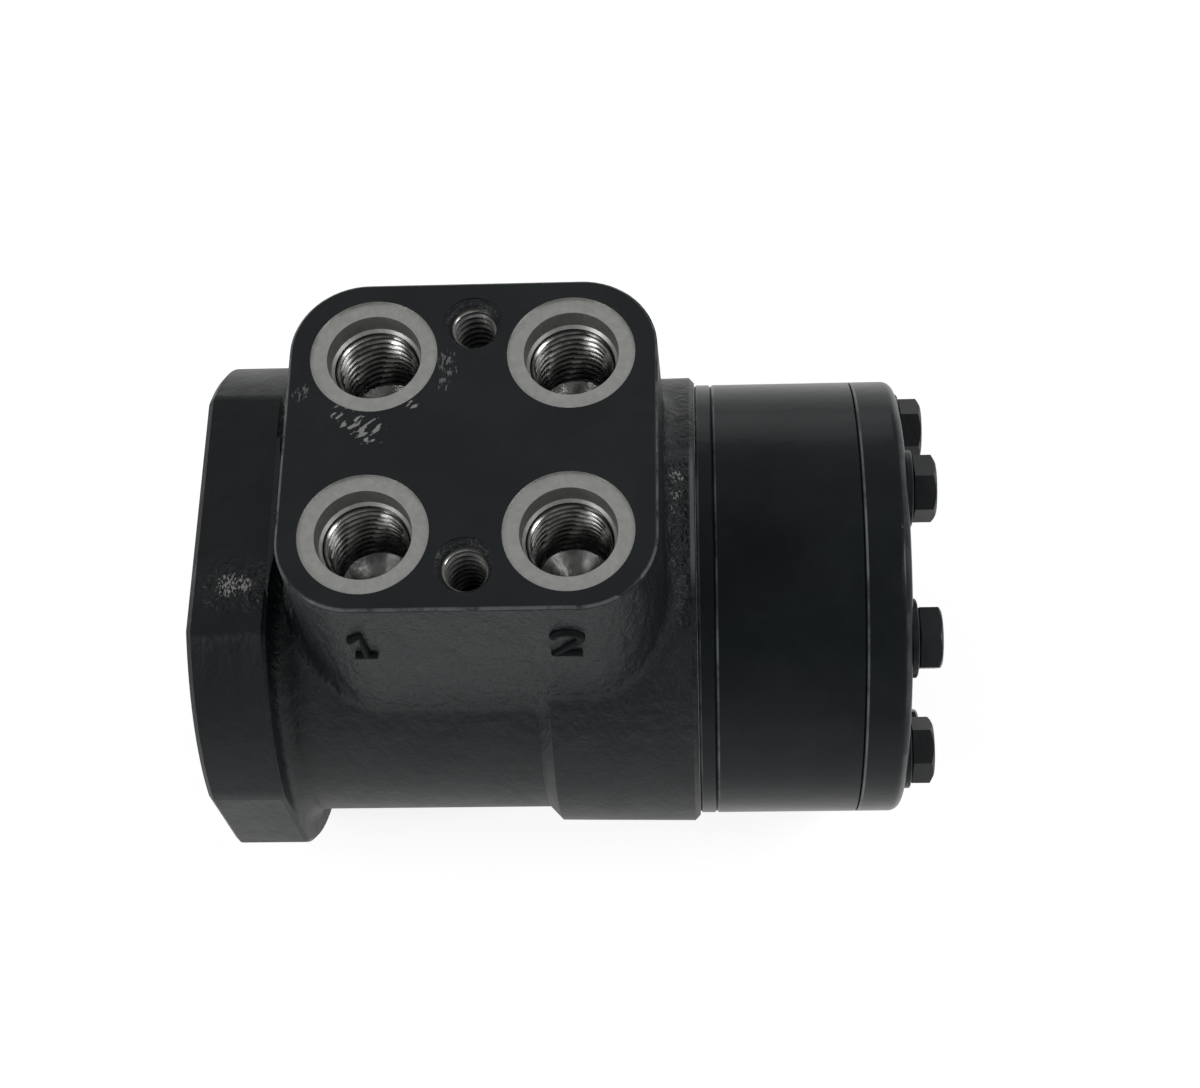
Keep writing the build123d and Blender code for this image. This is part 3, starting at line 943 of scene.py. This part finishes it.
@dataclass
class ThreadCutter:
    """Internal thread of one size, made as a closed ring in each hole; in millimetres."""

    size: ThreadSize
    material: Material
    per_turn: int = 8
    crest_gain: float = 1.3
    crest_shift: float = -0.12
    lead_gain: float = 2.5
    wall: float = 0.35

    def single(self, name: str) -> Mesh:
        """Builds one thread, open at the seam behind it.

        Args:
            name: the mesh's name.

        Returns:
            The thread with its mouth at the origin, reaching down along Z.
        """
        size = self.size
        rows = int(size.length / size.pitch * self.per_turn)
        t = NodeTree(name + "_tree", {
            "Nominal Radius": size.nominal_r * MM, "Crest Radius": size.crest_r * MM,
            "Pitch": size.pitch * MM, "Length": size.length * MM})
        nominal, length = t.size("Nominal Radius"), t.size("Length")
        grid = t.node("GeometryNodeMeshGrid", {"Size X": 1.0, "Size Y": 1.0,
                                               "Vertices X": size.around + 1,
                                               "Vertices Y": rows + 3})
        across, along, _ = t.parts(t.node("GeometryNodeInputPosition").outputs[0])
        turn = across + 0.5
        row = t.math("ROUND", (along + 0.5) * float(rows + 2))
        first, last = row < 0.5, row > rows + 1.5
        back = first | last
        level = ((row - 1.0) / float(rows)).held()
        saw = t.math("FRACT", level * length / t.size("Pitch") - turn)
        ridge = abs(saw * 2.0 - 1.0).line(self.crest_gain, self.crest_shift).held()
        ridge = ridge * (level * (rows / self.per_turn * self.lead_gain)).held()
        radius = nominal - ridge * (nominal - t.size("Crest Radius"))
        radius = radius * (1.0 - back) + (nominal + self.wall * MM) * back
        drop = (level | last) * length * (1.0 - first)
        angle = turn * math.tau
        spot = t.vector(radius * t.math("COSINE", angle), radius * t.math("SINE", angle),
                        drop * -1.0)
        moved = t.node("GeometryNodeSetPosition", {"Geometry": grid.outputs[0],
                                                   "Position": spot})
        whole = t.node("GeometryNodeMergeByDistance", {"Geometry": moved.outputs[0],
                                                       "Distance": 1e-7})
        return t.run(whole, self.material, name + "_one")

    def build(self, name: str, mouths: Sequence[Matrix]) -> Object:
        """Builds one thread per mouth, all in one piece.

        Args:
            name: the piece's name.
            mouths: frames whose Z points out of the hole, in metres.

        Returns:
            The object.
        """
        single = self.single(name)
        work = bmesh.new()
        for mouth in mouths:
            part = bmesh.new()
            part.from_mesh(single)
            ends = [edge for edge in part.edges if len(edge.link_faces) == 1]
            bmesh.ops.bridge_loops(part, edges=ends)
            bmesh.ops.recalc_face_normals(part, faces=part.faces)
            part.transform(mouth)
            spare = Workshop.kept(part, "spare")
            work.from_mesh(spare)
            bpy.data.meshes.remove(spare)
        bpy.data.meshes.remove(single)
        mesh = Workshop.kept(work, name)
        Workshop.shade(mesh, 40.0)
        return Workshop.link(name, mesh)


# ---- sub-assemblies ----
@dataclass
class ValveHousing:
    """Cast housing: copy with clean shading, threads and cast numerals."""

    shop: Workshop
    numeral_height: float = 9.6
    numeral_width: float = 5.6
    numeral_stroke: float = 0.95
    numeral_x: float = 61.5
    numeral_dx: float = 20.7
    numeral_y: float = -37.95
    numeral_z: float = 62.8
    wall_tilt_deg: float = 1.5

    @staticmethod
    def upright(x: float, y: float, below: float) -> Matrix:
        """Frame of a hole's thread that starts a given depth below the port face."""
        return Matrix.Translation(Vector((x, y, LAYOUT.top - below)) * MM)

    def port_mouths(self) -> list[Matrix]:
        """Frames at the start of each port's thread."""
        return [self.upright(LAYOUT.port_x + sx * LAYOUT.port_dx, sy * LAYOUT.port_dy,
                             PORT.start) for sx in (-1, 1) for sy in (-1, 1)]

    def fixing_mouths(self) -> list[Matrix]:
        """Frames at the start of each fixing hole's thread."""
        return [self.upright(LAYOUT.port_x, sy * LAYOUT.fix_dy, FIXING.start) for sy in (-1, 1)]

    def column_mouths(self) -> list[Matrix]:
        """Frames at the start of each column hole's thread."""
        turns = [math.radians(45 + 90 * i) for i in range(4)]
        return [Matrix.Translation(Vector((COLUMN.start, LAYOUT.column_r * math.cos(turn),
                                           LAYOUT.column_r * math.sin(turn))) * MM)
                @ Matrix.Rotation(-math.pi / 2, 4, "Y") for turn in turns]

    def figure_strokes(self, figure: str) -> list[list[tuple[float, float]]]:
        """Centre lines of a plain figure, in millimetres about its middle.

        Args:
            figure: "1" or "2".

        Returns:
            One list of points per stroke.
        """
        high, wide = self.numeral_height / 2.0, self.numeral_width / 2.0
        if figure == "1":
            return [[(-wide * 0.85, high * 0.45), (0.0, high), (0.0, -high)],
                    [(-wide * 0.8, -high), (wide * 0.8, -high)]]
        bow = [(wide * math.cos(turn), high * 0.45 + high * 0.55 * math.sin(turn))
               for turn in (math.radians(165 - 20 * k) for k in range(11))]
        return [bow + [(-wide, -high), (wide, -high)]]

    def figure_mesh(self, figure: str) -> Mesh:
        """Builds one figure from round strokes.

        Args:
            figure: "1" or "2".

        Returns:
            The mesh, lying flat about the origin.
        """
        curve = bpy.data.curves.new("figure", "CURVE")
        curve.dimensions = "3D"
        curve.bevel_depth = self.numeral_stroke * MM
        curve.bevel_resolution = 4
        curve.use_fill_caps = True
        for points in self.figure_strokes(figure):
            spline = curve.splines.new("POLY")
            spline.points.add(len(points) - 1)
            for point, (across, up) in zip(spline.points, points):
                point.co = (across * MM, up * MM, 0.0, 1.0)
        return Workshop.baked(Workshop.link("figure", curve), "figure")

    def numerals(self) -> Object:
        """Two plain raised figures cast into the front wall, one under each port."""
        work = bmesh.new()
        tilt = math.pi / 2 - math.radians(self.wall_tilt_deg)
        for figure, side in (("1", -1), ("2", 1)):
            middle = Vector((self.numeral_x + side * self.numeral_dx, self.numeral_y,
                             self.numeral_z)) * MM
            mesh = self.figure_mesh(figure)
            mesh.transform(Matrix.Translation(middle) @ Matrix.Rotation(tilt, 4, "X"))
            work.from_mesh(mesh)
            bpy.data.meshes.remove(mesh)
        bmesh.ops.remove_doubles(work, verts=work.verts, dist=1e-6)
        mesh = Workshop.kept(work, "cast_numerals")
        Workshop.shade(mesh, 50.0)
        return Workshop.link("cast_numerals", mesh)

    def build(self) -> None:
        """Builds and dresses the housing."""
        shop, fin = self.shop, self.shop.finishes
        case = shop.dressed_copy("housing", "housing_casting")
        shop.settle(case, Slot.CAST, ["housing"])
        for name, size, mouths, finish in (
                ("port_threads", PORT, self.port_mouths(), fin.thread),
                ("fixing_threads", FIXING, self.fixing_mouths(), fin.fixing_thread),
                ("column_threads", COLUMN, self.column_mouths(), fin.column_thread)):
            threads = ThreadCutter(size, finish).build(name, mouths)
            shop.settle(threads, Slot.STEEL, material=finish)
        # figures in painted shade
        shop.settle(self.numerals(), Slot.CAST, material=fin.figure_shade_paint)


@dataclass
class GearEnd:
    """Plate, gear ring and cover of the metering set."""

    shop: Workshop
    nodes: tuple[str, ...] = ("distributor_plate", "stator_ring", "end_cover")

    def build(self) -> None:
        """Dresses the three turned pieces."""
        for node in self.nodes:
            piece = self.shop.dressed_copy(node, node + "_turned", 25.0)
            self.shop.settle(piece, Slot.TURNED, [node])


@dataclass
class CoverFasteners:
    """Seven hex bolts and washers, laid out by Geometry Nodes; in millimetres."""

    shop: Workshop
    count: int = 7
    seed: int = 7
    phase_deg: float = 180.0
    across_flats: float = 13.0
    head: float = 5.3
    chamfer_deg: float = 30.0
    washer_r: float = 8.6
    washer_t: float = 1.5
    washer_hole_r: float = 4.15
    washer_steps: int = 48
    cover_x: float = 154.0
    shank_r: float = 4.0
    thread_core: float = 0.84
    length: float = 60.0
    thread_end: float = -8.0
    shank_end: float = -7.5
    face_t: float = 0.35
    face_share: float = 0.94
    edge_share: float = 0.96
    flats_from: float = 0.52
    flats_less: float = 1.6
    crown_share: float = 0.93
    dish_share: float = 0.80
    dish_floor: float = 0.76
    soft: float = 0.12
    least_chamfer: float = 0.25
    steps: int = 12
    levels: int = 5
    gap: float = 0.02

    def bolt(self) -> Mesh:
        """One bolt: chamfered hexagon, washer face and shank, Z out of the cover."""
        around, flat, base = 6 * self.steps, self.across_flats / 2.0, self.washer_t
        top, core = base + self.head, self.shank_r * self.thread_core
        turns = [math.tau * i / around + math.pi / 6 for i in range(around)]
        hexagon = [flat / math.cos(turn % (math.pi / 3) - math.pi / 6) for turn in turns]

        def even(*pairs: tuple[float, float]) -> list[tuple[list[float], list[float]]]:
            """Round rings at even heights."""
            return [([radius] * around, [height] * around) for radius, height in pairs]

        rings = even((core, base - self.length), (core, self.thread_end),
                     (self.shank_r, self.shank_end), (self.shank_r, base + self.gap),
                     (flat * self.face_share, base + self.gap),
                     (flat * self.edge_share, base + self.face_t))
        rings.append(([radius - self.soft for radius in hexagon],
                      [base + self.face_t + 0.01] * around))
        for level in range(self.levels):
            rise = (self.head - self.flats_less) * level / self.levels
            rings.append((hexagon, [base + self.flats_from + rise] * around))
        crown, slope = flat * self.crown_share, math.tan(math.radians(self.chamfer_deg))
        rings.append((hexagon, [top - max(self.least_chamfer, (radius - crown) * slope)
                                for radius in hexagon]))
        rings += even((crown, top), (flat * self.dish_share, top),
                      (flat * self.dish_floor, top - self.soft))
        return Workshop.skin([Workshop.ring(*ring) for ring in rings], "bolt_pattern_piece")

    def washer(self) -> Mesh:
        """One washer with softened edges, Z out of the cover."""
        r, t, hole = self.washer_r, self.washer_t, self.washer_hole_r
        outline = [(hole, self.gap), (r - 0.15, self.gap), (r, 0.2), (r, t - 0.25), (r - 0.25, t),
                   (hole + 0.25, t), (hole, t - 0.2)]
        rings = [Workshop.ring([radius] * self.washer_steps, [height] * self.washer_steps)
                 for radius, height in outline]
        return Workshop.skin(rings, "washer_pattern_piece", loop=True)

    def spread(self, name: str, template: Mesh, node: str, twist: float) -> None:
        """Instances a template on the bolt circle and settles the piece.

        Args:
            name: the piece's name.
            template: the mesh to repeat, Z out of the cover.
            node: the CAD node that the piece replaces.
            twist: largest turn of each copy about its own axis.
        """
        finish = self.shop.finishes.bolt_paint
        source = Workshop.link(name + "_source", template)
        t = NodeTree(name + "_tree", {
            "Circle Radius": LAYOUT.bolt_circle * MM, "Cover Face": self.cover_x * MM,
            "Phase": math.radians(self.phase_deg), "Twist": twist})
        circle = t.node("GeometryNodeMeshCircle", {"Vertices": self.count,
                                                   "Radius": t.size("Circle Radius")})
        drawn = t.node("FunctionNodeRandomValue", {"Seed": self.seed, 2: 0.0, 3: 1.0},
                       data_type="FLOAT")
        turn = Term(t, drawn.outputs[1]) * t.size("Twist")
        item = t.node("GeometryNodeObjectInfo", {"Object": source})
        copies = t.node("GeometryNodeInstanceOnPoints", {
            "Points": circle.outputs[0], "Instance": item.outputs["Geometry"],
            "Rotation": t.vector(0.0, 0.0, turn)})
        turned = t.node("GeometryNodeTransform", {
            "Geometry": copies.outputs[0], "Rotation": t.vector(0.0, 0.0, t.size("Phase"))})
        placed = t.node("GeometryNodeTransform", {
            "Geometry": turned.outputs[0], "Translation": t.vector(t.size("Cover Face")),
            "Rotation": (math.pi / 2, 0.0, math.pi / 2)})
        mesh = t.run(placed, finish, name)
        bpy.data.objects.remove(source)
        Workshop.shade(mesh, 25.0)
        self.shop.settle(Workshop.link(name, mesh), Slot.TURNED, [node], finish)

    def build(self) -> None:
        """Builds bolts and washers."""
        self.spread("hex_bolts", self.bolt(), "cover_bolts", math.radians(60.0))
        self.spread("cover_washers", self.washer(), "washers", 0.0)


@dataclass
class InnerWorks:
    """Nodes whose shape is right as it is and that only need a finish."""

    shop: Workshop
    nodes: dict[Slot, tuple[str, ...]] = field(default_factory=lambda: {
        Slot.RUBBER: ("dust_seal", "shaft_oring", "body_oring", "plate_oring", "cover_oring"),
        Slot.PTFE: ("shaft_seal",),
        Slot.DARK: ("bearing_outer_race", "bearing_inner_race", "cross_pin", "spring_ring",
                    "drive_shaft"),
        Slot.STEEL: ("needles", "needle_cage", "check_ball", "ball_stop", "drive_spacer",
                     "sleeve", "spool"),
        Slot.SPRING: ("flat_springs", "curved_springs"),
        Slot.GEAR: ("rotor",)})

    def build(self) -> None:
        """Gives every inner node its finish."""
        for slot, names in self.nodes.items():
            for name in names:
                self.shop.paint(frame["nodes"][name], self.shop.finishes.by_slot[slot])
                LOG.info("%s: finish %s", name, slot.value)


# ---- studio ----
@dataclass
class Studio:
    """Pale floor, soft lights and the camera; in metres and watts."""

    camera_at: Triple = (0.10951, -0.20498, 0.44874)
    right: Triple = (0.998687, 0.006825, -0.050768)
    up: Triple = (0.016169, 0.898414, 0.438853)
    back: Triple = (0.048605, -0.439097, 0.897124)
    focal_px: float = 2091.25
    width_px: float = 1200.0
    sensor_mm: float = 36.0
    floor_half: float = 3.0
    floor_glow: float = 0.84
    floor_mirrored: float = 0.42
    floor_gap: float = 0.0002
    cloth: Triple = (0.86, 0.86, 0.86)
    cloth_seen: Triple = (0.30, 0.30, 0.30)
    cloth_rough: float = 0.9
    sky_level: float = 0.50
    dark_level: float = 0.22
    dark_cap: tuple[float, float] = (0.55, 0.92)
    centre: Triple = (0.08, 0.0, 0.0)
    lamps: tuple[tuple[str, Triple, float, float], ...] = (
        ("back_softbox", (0.1, 1.4, 0.35), 0.6, 0.9),
        ("left_softbox", (-0.9, -0.6, 0.95), 0.35, 6.5),
        ("right_softbox", (1.0, -0.1, 1.0), 0.35, 5.0),
        ("left_sparkle", (-0.35, -0.35, 1.15), 0.07, 0.35),
        ("right_sparkle", (0.52, -0.35, 1.15), 0.07, 0.35))

    def camera(self) -> None:
        """Adds the camera."""
        data = bpy.data.cameras.new("camera")
        data.sensor_fit = "HORIZONTAL"
        data.sensor_width = self.sensor_mm
        data.lens = self.focal_px / self.width_px * self.sensor_mm
        data.clip_start = 0.01
        eye = Workshop.link("camera", data)
        turn = Matrix((self.right, self.up, self.back)).transposed().to_4x4()
        eye.matrix_world = Matrix.Translation(self.camera_at) @ turn
        bpy.context.scene.camera = eye

    def floor(self) -> None:
        """Adds a pale floor that shows white to the camera and takes a shadow."""
        half = self.floor_half
        mesh = bpy.data.meshes.new("floor")
        mesh.from_pydata([(-half, -half, 0), (half, -half, 0), (half, half, 0), (-half, half, 0)],
                         [], [(0, 1, 2, 3)])
        slab = Workshop.link("floor", mesh)
        slab.location = (self.centre[0], 0.0, LAYOUT.floor_z * MM - self.floor_gap)
        g = Graph("pale_floor")
        cloth = g.surface(self.cloth, self.cloth_rough, specular=0.0)
        dim = g.surface(self.cloth_seen, self.cloth_rough, specular=0.0)
        glow = g.node("ShaderNodeEmission", {"Strength": self.floor_glow})
        both = g.node("ShaderNodeAddShader", {0: dim, 1: glow.outputs[0]})
        path = g.node("ShaderNodeLightPath")
        mirrored = Term(g, path.outputs["Is Glossy Ray"]) * self.floor_mirrored
        seen = mirrored | path.outputs["Is Camera Ray"] | path.outputs["Is Transmission Ray"]
        Workshop.paint(slab, g.finish(g.blend(seen, cloth, both.outputs[0])))

    def world(self) -> None:
        """Adds an even sky with a dark patch over the viewer, white to the camera."""
        world = bpy.data.worlds.new("studio")
        bpy.context.scene.world = world
        world.use_nodes = True
        kit = NodeKit(world.node_tree)
        kit.tree.nodes.clear()
        white = (1.0, 1.0, 1.0, 1.0)
        coords = kit.node("ShaderNodeTexCoord")
        facing = kit.node("ShaderNodeVectorMath", {0: coords.outputs["Generated"], 1: self.back},
                          operation="DOT_PRODUCT")
        level = kit.band(facing.outputs["Value"], *self.dark_cap,
                         ends=(self.sky_level, self.dark_level))
        sky = kit.node("ShaderNodeBackground", {"Color": white, "Strength": level})
        seen = kit.node("ShaderNodeBackground", {"Color": white, "Strength": 1.0})
        path = kit.node("ShaderNodeLightPath")
        both = kit.blend(path.outputs["Is Camera Ray"], sky.outputs[0], seen.outputs[0])
        kit.node("ShaderNodeOutputWorld", {0: both})

    def lamp(self, name: str, at: Triple, size: float, watts: float) -> None:
        """Adds a square soft light that looks at the unit.

        Args:
            name: its name.
            at: its place.
            size: the side of the square.
            watts: its power.
        """
        data = bpy.data.lights.new(name, "AREA")
        data.shape = "SQUARE"
        data.size = size
        data.energy = watts
        lamp = Workshop.link(name, data)
        lamp.location = at
        aim = Vector(self.centre) - Vector(at)
        lamp.rotation_euler = aim.to_track_quat("-Z", "Y").to_euler()

    def build(self) -> None:
        """Builds the studio."""
        self.camera()
        self.floor()
        self.world()
        for lamp in self.lamps:
            self.lamp(*lamp)
        bpy.context.scene.view_settings.view_transform = "Standard"


def main() -> None:
    """Builds every sub-assembly, then the studio."""
    logging.basicConfig(level=logging.INFO, format="%(message)s")
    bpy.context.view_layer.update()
    shop = Workshop(Finishes())
    for assembly in (ValveHousing(shop), GearEnd(shop), CoverFasteners(shop), InnerWorks(shop)):
        assembly.build()
    Studio().build()


if __name__ == "__main__":
    main()
